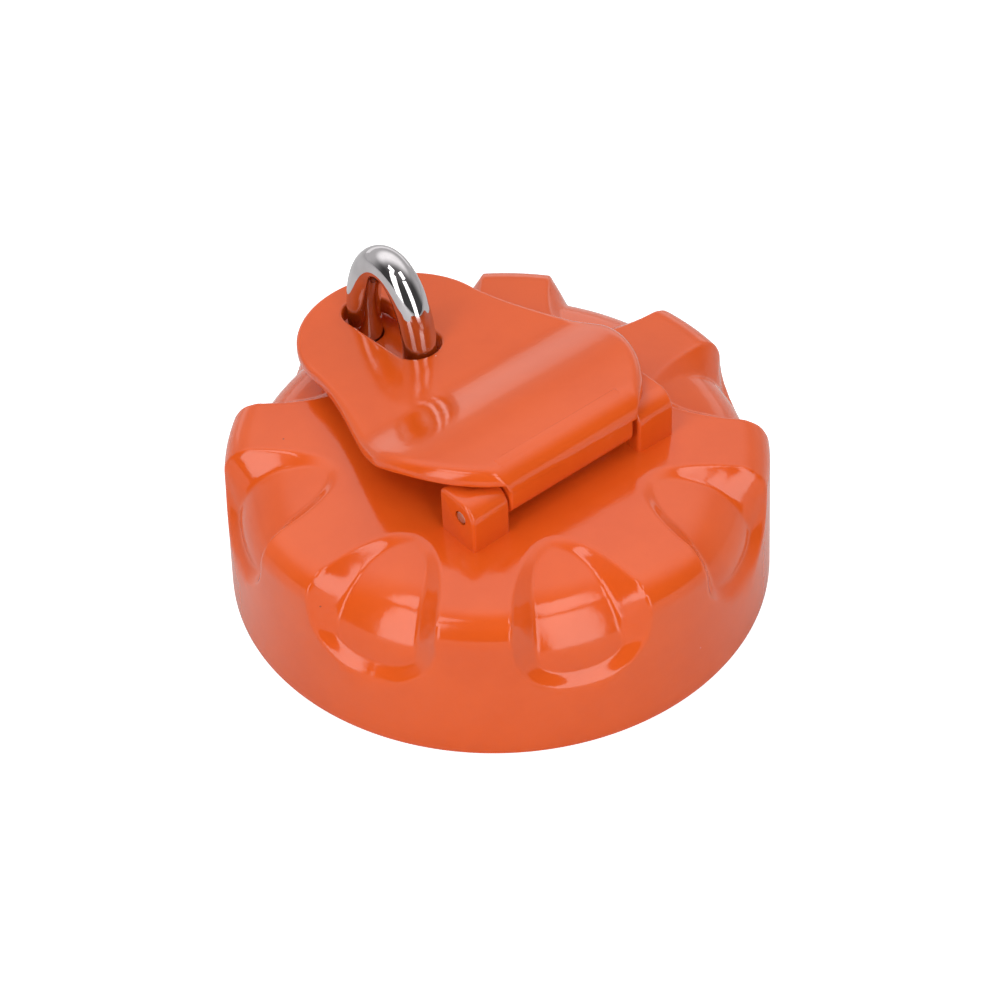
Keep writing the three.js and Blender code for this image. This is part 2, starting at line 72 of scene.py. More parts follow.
side = Vector((math.cos(RIGHT_AZIMUTH), math.sin(RIGHT_AZIMUTH), 0))
upward = CAMERA_BACK.cross(side)
turned_side = side * math.cos(CAMERA_ROLL) + upward * math.sin(CAMERA_ROLL)
turned_up = CAMERA_BACK.cross(turned_side)
bpy.ops.object.camera_add()
camera = bpy.context.object
camera.name = "camera"
camera.matrix_world = Matrix((
    (turned_side.x, turned_up.x, CAMERA_BACK.x, CAMERA_AT.x),
    (turned_side.y, turned_up.y, CAMERA_BACK.y, CAMERA_AT.y),
    (turned_side.z, turned_up.z, CAMERA_BACK.z, CAMERA_AT.z),
    (0, 0, 0, 1),
))
camera.data.lens = 126
camera.data.sensor_width = 36
camera.data.clip_end = 20
bpy.context.scene.camera = camera
print("camera", round(CAMERA_AT.length / MM), "mm from the origin")

# %% [markdown]
# A few helpers serve all the pieces. Blender's operators act on whatever is selected,
# so each piece starts from an empty selection; a finished piece is smoothed by angle,
# rides on its body, and hides the CAD node it stands for.
# The last two read and write a mesh's points in millimetres.

# %% Helpers
def deselect_all():
    if bpy.context.object and bpy.context.object.mode != "OBJECT":
        bpy.ops.object.mode_set(mode="OBJECT")
    bpy.ops.object.select_all(action="DESELECT")


def pick(*objects):
    deselect_all()
    for o in objects:
        o.select_set(True)
    bpy.context.view_layer.objects.active = objects[0]
    return objects[0]


def finish_piece(piece, name, body, replaced, angle=35):
    piece.name = name
    pick(piece)
    bpy.ops.object.transform_apply(location=True, rotation=True, scale=True)
    bpy.ops.object.shade_smooth_by_angle(angle=math.radians(angle))
    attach(piece, body)
    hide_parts(*replaced)
    print(name, len(piece.data.polygons), "faces")
    return piece


def coords_of(piece):
    co = np.zeros(len(piece.data.vertices) * 3)
    piece.data.vertices.foreach_get("co", co)
    return co.reshape(-1, 3) / MM


def set_coords(piece, co):
    piece.data.vertices.foreach_set("co", (np.asarray(co) * MM).ravel())
    piece.data.update()


# %% [markdown]
# The cap is a turned form with scallops pressed into its shoulder, so it is made the
# way a pattern maker would: the section is drawn once, spun round the axis, and the
# scallops are then cut by moving the skin inwards. The section is drawn as a chain of
# points extruded one from the next. Only the shoulder and the edges need arcs.

# %% The cap's section
SKIRT_R, SHOULDER_R, SHOULDER_ROUND = 65.0, 64.4, 7.65
TOP_Z, DOME, WALL_TOP_Z = 42.35, 0.00057, 32.86
BORE_R = 8.3
SCALLOP_TIP_R, SCALLOP_FOOT_Z = 38.0, 19.5
EDGE_ROUND = 1.1


def dome_z(r):
    return TOP_Z - DOME * r * r


def wall_r(z):
    return SHOULDER_R + (SKIRT_R - SHOULDER_R) * (WALL_TOP_Z - z) / WALL_TOP_Z


def cap_section():
    """Points (r, z, distance along the skin from the scallops' tips, or None)."""
    points = []
    round_r = SHOULDER_R - SHOULDER_ROUND
    for r in list(np.linspace(BORE_R + 0.4, 36, 8)) + list(np.linspace(37, round_r, 28)):
        points.append((r, dome_z(r), r - SCALLOP_TIP_R))
    for a in np.linspace(0, math.pi / 2, 15)[1:]:
        r = round_r + SHOULDER_ROUND * math.sin(a)
        z = WALL_TOP_Z + SHOULDER_ROUND * math.cos(a)
        points.append((r, z, round_r - SCALLOP_TIP_R + SHOULDER_ROUND * a))
    wall_s = points[-1][2]
    for z in np.linspace(WALL_TOP_Z, SCALLOP_FOOT_Z, 20)[1:]:
        points.append((wall_r(z), z, wall_s + WALL_TOP_Z - z))
    for z in (17, 13, 8, 4, 1.6):
        points.append((wall_r(z), z, None))
    for a in np.linspace(0, math.pi / 2, 6)[1:]:
        r = SKIRT_R - EDGE_ROUND * (1 - math.cos(a))
        points.append((r, EDGE_ROUND * (1 - math.sin(a)), None))
    # From the rim up inside the skirt, along the ceiling, and in to the lock's bore.
    inside = [(60.6, 0), (60.1, 0.5), (60, 1.2), (59.2, 16.5), (58.6, 17.4), (56.4, 19.6),
              (56, 20.4), (56, 31.2), (55.6, 31.9), (54.9, 32.3), (38.6, 32.3), (37.4, 32.7),
              (36.8, 33.6), (36.8, 37), (36, 37.8), (BORE_R, 37.8), (BORE_R, dome_z(BORE_R) - 0.4)]
    points += [(r, z, None) for r, z in inside]
    return points


section = cap_section()
print("cap section:", len(section), "points")

# %% Spin the section
AROUND = 704
deselect_all()
bpy.ops.mesh.primitive_plane_add(size=0.001)
cap = bpy.context.object
bpy.ops.object.mode_set(mode="EDIT")
bpy.ops.mesh.merge(type="CENTER")
here = Vector((0, 0, 0))
for r, z, _ in section:
    there = Vector((r * MM, 0, z * MM))
    if here.length == 0:
        bpy.ops.transform.translate(value=there)
    else:
        bpy.ops.mesh.extrude_region_move(TRANSFORM_OT_translate={"value": there - here})
    here = there
bpy.ops.mesh.select_all(action="SELECT")
bpy.ops.object.mode_set(mode="OBJECT")
chain = bmesh.new()
chain.from_mesh(cap.data)
ends = [v for v in chain.verts if len(v.link_edges) == 1]
chain.edges.new(ends)
chain.to_mesh(cap.data)
chain.free()
bpy.ops.object.mode_set(mode="EDIT")
bpy.ops.mesh.select_all(action="SELECT")
bpy.ops.mesh.spin(steps=AROUND, angle=2 * math.pi, center=(0, 0, 0), axis=(0, 0, 1))
bpy.ops.mesh.select_all(action="SELECT")
bpy.ops.mesh.remove_doubles(threshold=0.00001)
bpy.ops.mesh.normals_make_consistent(inside=False)
bpy.ops.object.mode_set(mode="OBJECT")
print("spun cap:", len(cap.data.vertices), "points")

# %% [markdown]
# Each scallop is an egg on the unrolled skin: its narrow tip lies on the flat top and
# its blunt end runs down the wall. In section its floor leaves the top at a slant and
# then follows one gentle arc to upright behind the wall. The skin sinks square to that
# floor, down straight side slopes that widen with the egg and a short slope at its end.

# %% Cut the scallops
EGG_MIDDLE, EGG_WALL, EGG_HALF_WIDTH = 28.0, 17.0, 17.2
FLOOR_R, FLOOR_Z, FLOOR_ARC, FLOOR_TILT = 45.0, 21.8, 17.0, math.radians(16)
SCALLOPS = 8
SIDE_SLOPE, END_SLOPE = 0.42, 3.2  # a share of the egg's half width, and millimetres
RIM_ROUND, FOOT_ROUND, CORNER_BLEND = 0.12, 0.2, 0.25  # shares of a slope's width


def egg_half(s):
    """Half the egg's width at each distance s along the skin."""
    above = np.clip((EGG_MIDDLE - s) / EGG_MIDDLE, 0, 1)
    below = np.clip((s - EGG_MIDDLE) / EGG_WALL, 0, 1)
    return EGG_HALF_WIDTH * (1 - above ** 1.3) ** 0.6 * (1 - below ** 2.3) ** (1 / 2.3)


def slope_share(s, v):
    """The share of the floor's depth that each point of the unrolled skin sinks."""
    u = np.sin(np.linspace(0, math.pi / 2, 90))
    rim_s = np.concatenate([EGG_MIDDLE * (1 - u[::-1]), EGG_MIDDLE + EGG_WALL * u[1:]])
    rim_v = egg_half(rim_s)
    inside = (v < egg_half(s)) & (s > 0) & (s < rim_s[-1])
    share = np.zeros(len(s))
    for part in np.array_split(np.nonzero(inside)[0], 20):
        to_rim = np.hypot(s[part][:, None] - rim_s, v[part][:, None] - rim_v).min(axis=1)
        from_end = to_rim / END_SLOPE
        from_side = (1 - v[part] / egg_half(np.minimum(s[part], EGG_MIDDLE))) / SIDE_SLOPE
        h = np.clip(0.5 + (from_end - from_side) / (2 * CORNER_BLEND), 0, 1)
        x = np.clip(from_side * h + from_end * (1 - h) - CORNER_BLEND * h * (1 - h), 0, 1)
        k = 1 / (1 - RIM_ROUND / 2 - FOOT_ROUND / 2)
        rim = k * x * x / (2 * RIM_ROUND)
        foot = 1 - k * (1 - x) ** 2 / (2 * FOOT_ROUND)
        straight = k * (x - RIM_ROUND / 2)
        share[part] = np.where(x < RIM_ROUND, rim, np.where(x > 1 - FOOT_ROUND, foot, straight))
    return share


co = coords_of(cap)
radius = np.hypot(co[:, 0], co[:, 1])
angle = np.arctan2(co[:, 1], co[:, 0])
table = np.array([p[:2] for p in section])
from_section = [np.abs(table - p).sum(axis=1).argmin() for p in np.stack([radius, co[:, 2]], 1)]
skin = np.array([i for i, j in enumerate(from_section) if section[j][2] is not None])
skin_s = np.array([section[from_section[i]][2] for i in skin])
pitch = 2 * math.pi / SCALLOPS
across = np.mod(angle[skin], pitch) - pitch / 2
from_r, from_z = radius[skin] - FLOOR_R, co[skin, 2] - FLOOR_Z
lean = np.clip(np.arctan2(from_r, from_z), FLOOR_TILT, math.pi / 2)
floor_below = from_r * np.sin(lean) + from_z * np.cos(lean) - FLOOR_ARC
depth = slope_share(skin_s, np.abs(across) * radius[skin]) * np.maximum(floor_below, 0)
new_r = radius[skin] - depth * np.sin(lean)
co[skin, 0] = new_r * np.cos(angle[skin])
co[skin, 1] = new_r * np.sin(angle[skin])
co[skin, 2] -= depth * np.cos(lean)
set_coords(cap, co)
print("scalloped points:", int((depth > 0).sum()), "of", len(skin))

# %% [markdown]
# The hinge lugs are cast with the cap. Each is a block with a flat inner side, rounded
# over the top and, at the front, round the hinge pin so that the flap's own knuckle
# matches it. The profile is drawn in the YZ plane and extruded along X. A shallow
# round mark is sunk in each lug's top.

# %% Profile blocks
def block_from_profile(outline, x0, x1):
    """A prism along X from (y, z) points in millimetres."""
    deselect_all()
    bpy.ops.mesh.primitive_circle_add(vertices=len(outline), fill_type="NGON")
    o = bpy.context.object
    set_coords(o, [(x0, y, z) for y, z in outline])
    bpy.ops.object.mode_set(mode="EDIT")
    bpy.ops.mesh.select_all(action="SELECT")
    bpy.ops.mesh.extrude_region_move(TRANSFORM_OT_translate={"value": ((x1 - x0) * MM, 0, 0)})
    bpy.ops.mesh.select_all(action="SELECT")
    bpy.ops.mesh.normals_make_consistent(inside=False)
    bpy.ops.object.mode_set(mode="OBJECT")
    return o


def arc(cy, cz, r, start, end, steps):
    angles = np.radians(np.linspace(start, end, steps + 1))
    return [(cy + r * math.cos(a), cz + r * math.sin(a)) for a in angles]


def soften(piece, width, segments=4, limit=30):
    """Bevels every edge that is sharper than the limit."""
    bevel = piece.modifiers.new("soften", "BEVEL")
    bevel.width = width * MM
    bevel.segments = segments
    bevel.limit_method = "ANGLE"
    bevel.angle_limit = math.radians(limit)
    pick(piece)
    bpy.ops.object.modifier_apply(modifier=bevel.name)


def drill(piece, radius, start, end, sides=64):
    """Cuts a round hole from start to end, both in millimetres."""
    a, b = Vector(start) * MM, Vector(end) * MM
    deselect_all()
    bpy.ops.mesh.primitive_cylinder_add(vertices=sides, radius=radius * MM,
                                        depth=(b - a).length, location=(a + b) / 2)
    bit = bpy.context.object
    bit.rotation_euler = (b - a).to_track_quat("Z", "Y").to_euler()
    pick(bit)
    bpy.ops.object.transform_apply(location=True, rotation=True, scale=True)
    cut = piece.modifiers.new("drill", "BOOLEAN")
    cut.object = bit
    cut.operation = "DIFFERENCE"
    cut.solver = "EXACT"
    pick(piece)
    bpy.ops.object.modifier_apply(modifier=cut.name)
    bpy.data.objects.remove(bit)


PIN_Y, PIN_Z, KNUCKLE_R = -23.8, 49.3, 4.6
PIN_R, PIN_HOLE_R, PIN_BORE_R, PIN_LENGTH = 1.5, 1.8, 1.56, 60.4
LUG_X = (19.6, 30.4)
LUG_BACK_Y, LUG_FOOT_Z, LUG_BACK_ROUND = -16.5, 38.6, 1.6
MARK_BACK, MARK_R, MARK_DEPTH = 2.6, 1.5, 0.25
LUG_TOP_Z = PIN_Z + KNUCKLE_R
lug_outline = ([(PIN_Y - KNUCKLE_R, LUG_FOOT_Z), (LUG_BACK_Y, LUG_FOOT_Z)]
               + arc(LUG_BACK_Y - LUG_BACK_ROUND, LUG_TOP_Z - LUG_BACK_ROUND, LUG_BACK_ROUND, 0, 90, 5)
               + arc(PIN_Y, PIN_Z, KNUCKLE_R, 90, 180, 12))
lugs = []
for x0, x1 in (LUG_X, (-LUG_X[1], -LUG_X[0])):
    lug = block_from_profile(lug_outline, x0, x1)
    soften(lug, 0.9, 4, 50)
    drill(lug, PIN_HOLE_R, (x0 - 2, PIN_Y, PIN_Z), (x1 + 2, PIN_Y, PIN_Z))
    mark = ((x0 + x1) / 2, PIN_Y + MARK_BACK)
    drill(lug, MARK_R, (*mark, LUG_TOP_Z - MARK_DEPTH), (*mark, LUG_TOP_Z + 2), 40)
    lugs.append(lug)
print("lugs:", [len(o.data.polygons) for o in lugs])

# %% [markdown]
# The staple's legs pass through the top in two drilled holes, and four bosses inside
# take the screws of the seal plate. The bosses are short cylinders that stand on the
# ceiling. The lugs and the bosses are joined to the cap, as one casting.

# %% Drill and join the cap
LEG_Y, LEG_HOLE_R = (27.6, 48.8), 4.55
BOSS_RING_R, BOSS_R, BOSS_MIDDLE_Z, BOSS_LENGTH = 50.5, 4.2, 29.8, 7
SCREW_HOLE_R = 1.9
for y in LEG_Y:
    drill(cap, LEG_HOLE_R, (0, y, 28), (0, y, 46), 48)
bosses = []
for degrees in (45, 135, 225, 315):
    a = math.radians(degrees)
    x, y = BOSS_RING_R * math.cos(a), BOSS_RING_R * math.sin(a)
    deselect_all()
    bpy.ops.mesh.primitive_cylinder_add(vertices=40, radius=BOSS_R * MM, depth=BOSS_LENGTH * MM,
                                        location=(x * MM, y * MM, BOSS_MIDDLE_Z * MM))
    boss = bpy.context.object
    bpy.ops.object.transform_apply(location=True, rotation=True, scale=True)
    soften(boss, 0.4, 3)
    drill(boss, SCREW_HOLE_R, (x, y, 20), (x, y, 32.5), 32)
    bosses.append(boss)
pick(cap, *lugs, *bosses)
bpy.ops.object.join()
cap = finish_piece(cap, "cap_casting", "cap", ["cap_shell"], 40)

# %% [markdown]
# The flap is one pear-shaped plate: a big disc at the hinge, hollow waists, and a round
# tip with the slot for the staple. It steps down from the hinge to the staple. A flat
# grid sheet is curled round the slot, so that one direction of the grid runs round the
# outline and the other from the outline to the slot, and its seam is welded. Under the
# plate a low collar stiffens the slot.

# %% The flap's outline
TIP_R, TIP_Y = 24.3, 36.0
DISC_R, DISC_Y = 35.2, 1.2
FRONT_Y = PIN_Y - KNUCKLE_R
SLOT_Y, SLOT_HALF = (28.9, 47.8), 6.05
FLAP_Z, FLAP_FALL, HINGE_END_Z = 49.6, 0.087, 59.0
RISE_Y, RISE_LENGTH = 10.5, 15.5
FRONT_ROUND, COLLAR = 6.0, 2.0
WAIST_HANDLES = ((25.4, 24.5), (33.6, 10.5))


def disc_arc(start, end, steps):
    a = np.linspace(start, end, steps)
    return np.stack([DISC_R * np.cos(a), DISC_Y + DISC_R * np.sin(a)], 1)


def flap_side():
    """The right side from the tip to the hinge, as if the disc went on past the front."""
    a = np.linspace(math.pi / 2, 0.04, 56)
    tip = np.stack([TIP_R * np.cos(a), TIP_Y + TIP_R * np.sin(a)], 1)
    disc = disc_arc(-0.02, -1.5, 90)
    t = np.linspace(0, 1, 56)[1:-1, None]
    p1, p2 = np.array(WAIST_HANDLES)
    waist = (1 - t) ** 3 * tip[-1] + 3 * (1 - t) ** 2 * t * p1
    waist += 3 * (1 - t) * t * t * p2 + t ** 3 * disc[0]
    return np.concatenate([tip, waist, disc])


flap_edge = flap_side()
kept = flap_edge[flap_edge[:, 1] > FRONT_Y + 0.3]
corner_x = math.sqrt(DISC_R ** 2 - (FRONT_Y - DISC_Y) ** 2)
front = np.stack([np.linspace(corner_x, 0, 30), np.full(30, FRONT_Y)], 1)
half = np.concatenate([kept, front])
outline = np.concatenate([half, half[-2:0:-1] * (-1, 1)])
print("flap outline:", len(outline), "points,", round(half[:, 0].max() * 2, 1), "mm wide")

# %% The flap's height and the rounding of its edges
CORNER_MIX = 0.6


def flap_top(y):
    """A gently falling plane, with an S-shaped rise to the flat hinge end."""
    plane = FLAP_Z - FLAP_FALL * (y - TIP_Y - 2)
    rise = 1 - np.exp(-(np.clip(RISE_Y - y, 0, None) / RISE_LENGTH) ** 1.87)
    return plane + (HINGE_END_Z - plane) * rise


def rounding(distance, r):
    """How far an edge of radius r drops at a distance in from the edge."""
    inset = np.clip(r - distance, 0, r)
    return r - np.sqrt(np.maximum(r * r - inset * inset, 0))


def distance_to(curve, points):
    a, b = curve[:-1], curve[1:]
    d = b - a
    best = np.full(len(points), 1e9)
    for p0, seg in zip(a, d):
        t = np.clip(((points - p0) @ seg) / (seg @ seg), 0, 1)
        best = np.minimum(best, np.hypot(*(points - p0 - t[:, None] * seg).T))
    return best


def edge_drop(points):
    """How far the edges drop the top at each point; also its distances to edge and slot."""
    mirrored = np.abs(points[:, 0])
    d = distance_to(flap_edge, np.stack([mirrored, points[:, 1]], 1))
    r = np.interp(points[:, 1], [-5, 14, 32, 60], [3.4, 2.6, 1.3, 1.2])
    at_side = rounding(d, r)
    at_front = rounding(points[:, 1] - FRONT_Y, FRONT_ROUND)
    gap = np.clip(0.5 + (at_side - at_front) / (2 * CORNER_MIX), 0, 1)
    both = at_front * (1 - gap) + at_side * gap + CORNER_MIX * gap * (1 - gap)
    core = np.stack([np.zeros(len(points)), np.clip(points[:, 1], *SLOT_Y)], 1)
    to_slot = np.hypot(*(points - core).T) - SLOT_HALF
    return both + rounding(to_slot, 0.7), d, to_slot


# %% Curl the grid into the flap
def grid_piece(across, along):
    """A square grid; returns it with each point's column and row numbers."""
    deselect_all()
    bpy.ops.mesh.primitive_grid_add(x_subdivisions=across, y_subdivisions=along, size=2)
    o = bpy.context.object
    co = np.zeros(len(o.data.vertices) * 3)
    o.data.vertices.foreach_get("co", co)
    co = co.reshape(-1, 3)
    column = np.rint((co[:, 0] + 1) / 2 * across).astype(int)
    row = np.rint((co[:, 1] + 1) / 2 * along).astype(int)
    return o, column, row


def weld(o, gap=0.002):
    pick(o)
    bpy.ops.object.mode_set(mode="EDIT")
    bpy.ops.mesh.select_all(action="SELECT")
    bpy.ops.mesh.remove_doubles(threshold=gap * MM)
    bpy.ops.mesh.normals_make_consistent(inside=False)
    bpy.ops.object.mode_set(mode="OBJECT")


edge_in = 1 - np.cos(np.linspace(0, 1, 14) * math.pi / 2)
across_t = np.linspace(0.16, 0.94, 34)[1:]
top_t = np.concatenate([edge_in * 0.16, across_t, [0.96, 0.975, 0.987, 0.995, 1]])
under_t = np.concatenate([[1, 0.985, 0.96], np.linspace(0.9, 0.1, 10), [0.03, 0.01, 0.003, 0]])
rows_t = np.concatenate([top_t, under_t])
is_top = np.arange(len(rows_t)) < len(top_t)
flap, column, row = grid_piece(len(outline), len(rows_t))
outer = outline[column % len(outline)]
core = np.stack([np.zeros(len(outer)), np.clip(outer[:, 1], *SLOT_Y)], 1)
way = outer - core
inner = core + way / np.hypot(*way.T)[:, None] * SLOT_HALF
t = rows_t[row % len(rows_t)]
upper = is_top[row % len(rows_t)]
plan = outer + (inner - outer) * t[:, None]
drop, to_edge, to_slot = edge_drop(plan)
top = flap_top(plan[:, 1])
thick = np.interp(plan[:, 1], [-3, 10, 60], [4.0, 3.5, 3.0])
thick += np.interp(to_slot, [1.4, 2.6], [COLLAR, 0])
lift = rounding(to_edge, 0.5) + rounding(to_slot, 0.4)
bottom = np.minimum(top - thick + lift, top - drop - 0.25)
z = np.where(upper, top - drop, bottom)
set_coords(flap, np.column_stack([plan, z]))
weld(flap)
print("flap skin:", len(flap.data.vertices), "points")

# %% [markdown]
# Under the hinge end the flap thickens into a knuckle that turns on the pin, and two
# small feet near the tip rest on the cap. They are cast with the plate, so they are
# joined to it. The knuckle follows the plate's front rounding just inside its skin.

# %% The knuckle and the feet
KNUCKLE_X, KNUCKLE_TOP_Z = (-19.2, 18.0), 56.2
FOOT_X, FOOT_Y, FOOT_MIDDLE_Z = 7.6, 54.0, 43.8
FOOT_R, FOOT_LENGTH = (1.5, 2.1), 5.4
knuckle_outline = (arc(PIN_Y, PIN_Z, KNUCKLE_R, 180, 360, 20)
                   + [(PIN_Y + KNUCKLE_R, KNUCKLE_TOP_Z)]
                   + arc(FRONT_Y + FRONT_ROUND, HINGE_END_Z - FRONT_ROUND, FRONT_ROUND - 0.07,
                         90, 180, 12))
knuckle = block_from_profile(knuckle_outline, *KNUCKLE_X)
soften(knuckle, 0.7, 4, 60)
drill(knuckle, PIN_BORE_R, (-24, PIN_Y, PIN_Z), (24, PIN_Y, PIN_Z))
feet = []
for x in (-FOOT_X, FOOT_X):
    deselect_all()
    bpy.ops.mesh.primitive_cone_add(vertices=40, radius1=FOOT_R[0] * MM, radius2=FOOT_R[1] * MM,
                                    depth=FOOT_LENGTH * MM,
                                    location=(x * MM, FOOT_Y * MM, FOOT_MIDDLE_Z * MM))
    foot = bpy.context.object
    bpy.ops.object.transform_apply(location=True, rotation=True, scale=True)
    soften(foot, 0.4, 3, 50)
    feet.append(foot)
pick(flap, knuckle, *feet)
bpy.ops.object.join()
flap = finish_piece(flap, "hasp_flap", "flap", ["cover_flap"], 40)

# %% [markdown]
# The staple is 8.4 mm round bar bent to a tall arch. A curve with a round bevel is the
# simplest true picture of bent bar: two straight legs and two quarter-ellipses, each
# drawn by one pair of handles. It is turned into a mesh so that it can be finished.

# %% The staple
BAR_R = 4.2
LEG_FOOT_Z = (31.9, 26.6)
SPRING_Z, ARCH_RISE = 48.9, 19.4
middle_y = sum(LEG_Y) / 2
half_span = (LEG_Y[1] - LEG_Y[0]) / 2
HANDLE = 0.5523  # of the radius, for a quarter turn
deselect_all()
bpy.ops.curve.primitive_bezier_curve_add()
staple = bpy.context.object
bpy.ops.object.mode_set(mode="EDIT")
bpy.ops.curve.select_all(action="SELECT")
bpy.ops.curve.subdivide(number_cuts=3)
bpy.ops.object.mode_set(mode="OBJECT")
leg_points = [
    ((LEG_Y[0], LEG_FOOT_Z[0]), (0, -5), (0, 5)),
    ((LEG_Y[0], SPRING_Z), (0, -5), (0, ARCH_RISE * HANDLE)),
    ((middle_y, SPRING_Z + ARCH_RISE), (-half_span * HANDLE, 0), (half_span * HANDLE, 0)),
    ((LEG_Y[1], SPRING_Z), (0, ARCH_RISE * HANDLE), (0, -5)),
    ((LEG_Y[1], LEG_FOOT_Z[1]), (0, 5), (0, -5)),
]
for point, ((y, z), before, after) in zip(staple.data.splines[0].bezier_points, leg_points):
    point.handle_left_type = point.handle_right_type = "FREE"
    point.co = Vector((0, y, z)) * MM
    point.handle_left = Vector((0, y + before[0], z + before[1])) * MM
    point.handle_right = Vector((0, y + after[0], z + after[1])) * MM
staple.data.resolution_u = 40
staple.data.bevel_depth = BAR_R * MM
staple.data.bevel_resolution = 14
staple.data.use_fill_caps = True
pick(staple)
bpy.ops.object.convert(target="MESH")
staple = bpy.context.object
weld(staple)
soften(staple, 0.5, 3, 50)
staple = finish_piece(staple, "staple_bar", "cap", ["padlock_staple"], 40)

# %% [markdown]
# The hinge pin is cut rod. Its ends are what shows: a chamfered face set back a little
# in the lug's hole, so the cylinder is bevelled at its end edges.

# %% The hinge pin
deselect_all()
bpy.ops.mesh.primitive_cylinder_add(vertices=64, radius=PIN_R * MM, depth=PIN_LENGTH * MM,
                                    location=(0, PIN_Y * MM, PIN_Z * MM))
pin = bpy.context.object
bpy.ops.transform.rotate(value=math.pi / 2, orient_axis="Y",
                         center_override=(0, PIN_Y * MM, PIN_Z * MM))
pick(pin)
bpy.ops.object.transform_apply(location=True, rotation=True, scale=True)
soften(pin, 0.3, 3, 50)
pin = finish_piece(pin, "hinge_rod", "cap", ["hinge_pin"], 40)

# %% [markdown]
# The breather's spring is one circle of wire screwed upwards through four turns, and
# it is given a mesh of its own.

# %% The breather's spring
VENT_Y, COIL_R, WIRE_R, COIL_Z = -21.0, 2.9, 0.3, (29.4, 32.0)
TURNS = 4
deselect_all()
bpy.ops.mesh.primitive_circle_add(vertices=12, radius=WIRE_R * MM, fill_type="NOTHING")
coil = bpy.context.object
wire = coords_of(coil)
set_coords(coil, np.column_stack([COIL_R + wire[:, 0], wire[:, 2], wire[:, 1]]))
coil.location = (0, VENT_Y * MM, COIL_Z[0] * MM)
turns = coil.modifiers.new("turns", "SCREW")
turns.iterations = TURNS
turns.screw_offset = (COIL_Z[1] - COIL_Z[0]) / TURNS * MM
turns.steps = turns.render_steps = 36
bpy.ops.object.modifier_apply(modifier=turns.name)
bpy.ops.object.mode_set(mode="EDIT")
bpy.ops.mesh.select_all(action="SELECT")
bpy.ops.mesh.fill_holes(sides=0)
bpy.ops.mesh.normals_make_consistent(inside=False)
bpy.ops.object.mode_set(mode="OBJECT")
coil = finish_piece(coil, "vent_coil", "cap", ["vent_spring"], 60)
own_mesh(coil)

# %% [markdown]
# Everything is finished by a few materials. The enamel is sprayed over a casting, so
# its gloss has a faint orange peel, and dust and small chips sit on it. Effects that
# more than one material uses are node groups; each material sets its own amounts.

# %% Node groups
def node_group(name, inputs, outputs):
    group = bpy.data.node_groups.new(name, "ShaderNodeTree")
    for label, kind, value in inputs:
        socket = group.interface.new_socket(label, in_out="INPUT", socket_type=kind)
        socket.default_value = value
    for label, kind in outputs:
        group.interface.new_socket(label, in_out="OUTPUT", socket_type=kind)
    start = group.nodes.new("NodeGroupInput")
    end = group.nodes.new("NodeGroupOutput")
    return group, start, end


def add(tree, kind, **values):
    """Adds a node; each value is a property of it or, with no such property, a socket."""
    n = tree.nodes.new(kind)
    for key, value in values.items():
        if hasattr(n, key):
            setattr(n, key, value)
        else:
            n.inputs[key.replace("_", " ")].default_value = value
    return n


def peel_group():
    """Orange peel: height that swells over a few tenths of a millimetre."""
    g, start, end = node_group("sprayed_skin", [("Scale", "NodeSocketFloat", 500.0)],
                               [("Height", "NodeSocketFloat")])
    at = add(g, "ShaderNodeTexCoord")
    noise = add(g, "ShaderNodeTexNoise", Detail=2.0, Roughness=0.5)
    g.links.new(at.outputs["Object"], noise.inputs["Vector"])
    g.links.new(start.outputs["Scale"], noise.inputs["Scale"])
    g.links.new(noise.outputs["Fac"], end.inputs["Height"])
    return g


def speck_group():
    """Specks: small round spots scattered at random, as dust or pinholes."""
    g, start, end = node_group("specks", [("Scale", "NodeSocketFloat", 400.0),
                                          ("Size", "NodeSocketFloat", 0.1),
                                          ("Share", "NodeSocketFloat", 0.1)],
                               [("Mask", "NodeSocketFloat")])
    at = add(g, "ShaderNodeTexCoord")
    cells = add(g, "ShaderNodeTexVoronoi", Randomness=1.0)
    g.links.new(at.outputs["Object"], cells.inputs["Vector"])
    g.links.new(start.outputs["Scale"], cells.inputs["Scale"])
    near = add(g, "ShaderNodeMath", operation="LESS_THAN")
    g.links.new(cells.outputs["Distance"], near.inputs[0])
    g.links.new(start.outputs["Size"], near.inputs[1])
    split = add(g, "ShaderNodeSeparateColor")
    g.links.new(cells.outputs["Color"], split.inputs[0])
    chosen = add(g, "ShaderNodeMath", operation="LESS_THAN")
    g.links.new(split.outputs[0], chosen.inputs[0])
    g.links.new(start.outputs["Share"], chosen.inputs[1])
    both = add(g, "ShaderNodeMath", operation="MULTIPLY")
    g.links.new(near.outputs[0], both.inputs[0])
    g.links.new(chosen.outputs[0], both.inputs[1])
    g.links.new(both.outputs[0], end.inputs["Mask"])
    return g


def cloud_group():
    """Clouds: a slow drift between 0 and 1, for stains and uneven wear."""
    g, start, end = node_group("clouds", [("Scale", "NodeSocketFloat", 40.0),
                                          ("From", "NodeSocketFloat", 0.4),
                                          ("To", "NodeSocketFloat", 0.7)],
                               [("Mask", "NodeSocketFloat")])
    at = add(g, "ShaderNodeTexCoord")
    noise = add(g, "ShaderNodeTexNoise", Detail=5.0, Roughness=0.6)
    g.links.new(at.outputs["Object"], noise.inputs["Vector"])
    g.links.new(start.outputs["Scale"], noise.inputs["Scale"])
    ramp = add(g, "ShaderNodeMapRange", interpolation_type="SMOOTHSTEP")
    g.links.new(noise.outputs["Fac"], ramp.inputs["Value"])
    g.links.new(start.outputs["From"], ramp.inputs["From Min"])
    g.links.new(start.outputs["To"], ramp.inputs["From Max"])
    g.links.new(ramp.outputs["Result"], end.inputs["Mask"])
    return g


